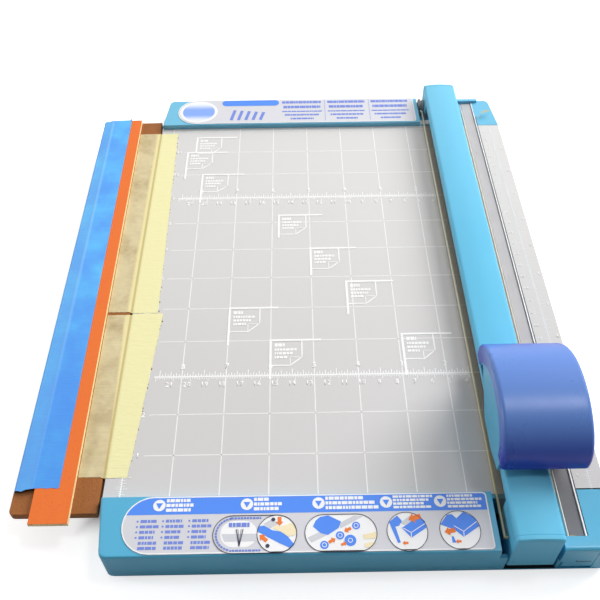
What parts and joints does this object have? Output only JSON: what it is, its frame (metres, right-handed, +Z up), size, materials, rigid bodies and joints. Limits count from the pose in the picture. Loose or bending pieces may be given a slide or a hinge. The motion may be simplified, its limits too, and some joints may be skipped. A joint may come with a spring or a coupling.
{
  "type": "rotary paper trimmer",
  "caption": "Rotary paper trimmer with a gridded deck, a hinged guide rail, a sliding and pressing cutter head with a rolling blade, and a home-made board taped on.",
  "frame": {"origin": "on the bench, under the middle of the outline", "axes": "+Y runs along the cut from the front end to the rail hinge, +X runs across the deck from the added board to the cut line, +Z is up"},
  "size_m": [0.3046, 0.3718, 0.0682],
  "materials": {
    "deck_paint": "satin pale grey paint",
    "bare_metal": "plain mill finish",
    "steel": "plain steel",
    "cap_plastic": "smooth teal blue",
    "rail_paint": "smooth teal blue",
    "mat": "grey cutting mat",
    "label": "printed label",
    "rubber": "matt",
    "clear": "clear",
    "cover": "smooth violet blue",
    "dark": "dark grey",
    "acetal": "off-white",
    "hardboard": "raw brown hardboard",
    "pine": "raw softwood",
    "orange": "orange",
    "blue_tape": "blue paper tape",
    "masking_tape": "pale paper tape"
  },
  "bodies": {
    "base": {"deck_plate": "deck_paint", "right_deck_strip": "deck_paint", "side_rail_left": "bare_metal", "side_rail_right": "bare_metal", "cross_beam_front": "steel", "cross_beam_middle": "steel", "cross_beam_rear": "steel", "deck_screw_front_left": "steel", "deck_screw_front_right": "steel", "deck_screw_rear_left": "steel", "deck_screw_rear_right": "steel", "front_end_cap": "cap_plastic", "rear_end_cap": "cap_plastic", "foot_front_left": "rubber", "foot_front_right": "rubber", "foot_rear_left": "rubber", "foot_rear_right": "rubber", "front_label_panel": "label", "rear_label_panel": "label", "mat_channel": "bare_metal", "cutting_mat": "mat", "spare_mat": "mat", "gate_pin": "steel", "rest_pad": "rubber", "hinge_bracket": "steel", "bracket_screw": "steel", "hinge_pin": "steel", "extension_board": "hardboard", "runner_outer": "pine", "runner_inner": "pine", "fence_strip": "orange", "blue_tape": "blue_tape", "masking_tape_rear": "masking_tape", "masking_tape_front": "masking_tape"},
    "gate": {"mat_gate": "cap_plastic"},
    "rail": {"rail_beam": "rail_paint", "rail_front_block": "rail_paint", "rail_hinge_block": "rail_paint", "rail_screw_front": "steel", "rail_screw_rear": "steel", "paper_guide": "clear", "hinge_bush_left": "acetal", "hinge_bush_right": "acetal"},
    "carriage": {"carriage_body": "cap_plastic", "glide_shoe_left": "acetal", "glide_shoe_right": "acetal", "guide_screw_front": "steel", "guide_screw_rear": "steel", "press_spring_front": "steel", "press_spring_rear": "steel"},
    "cutter": {"cutter_cover": "cover", "cover_screw_left": "steel", "cover_screw_right": "steel", "blade_holder": "dark", "blade_axle": "steel", "blade_guard": "dark"},
    "blade_assembly": {"blade": "bare_metal", "blade_hub": "dark", "blade_retainer": "dark"}
  },
  "joints": [
    {"name": "gate_swing", "type": "hinge", "parent": "base", "child": "gate", "pos_m": [0.1311, -0.18265, 0.0073], "axis": [1, 0, 0], "range_deg": [0, 85]},
    {"name": "rail_lift", "type": "hinge", "parent": "base", "child": "rail", "pos_m": [0.10845, 0.17675, 0.016], "axis": [-1, 0, 0], "range_deg": [0, 35]},
    {"name": "carriage_slide", "type": "slide", "parent": "rail", "child": "carriage", "axis": [0, 1, 0], "range_m": [-0.0295, 0.275]},
    {"name": "cutter_press", "type": "slide", "parent": "carriage", "child": "cutter", "axis": [0, 0, -1], "range_m": [0, 0.002], "stiffness_N_per_m": 1500, "springref_m": -0.002, "deforming": ["press_spring_front", "press_spring_rear"]},
    {"name": "blade_spin", "type": "hinge", "parent": "cutter", "child": "blade_assembly", "pos_m": [0.1313, -0.12125, 0.0369], "axis": [-1, 0, 0], "continuous": true}
  ],
  "couplings": [
    {"joint": "blade_spin", "follows": "carriage_slide", "rad_per_m": 71.429}
  ]
}
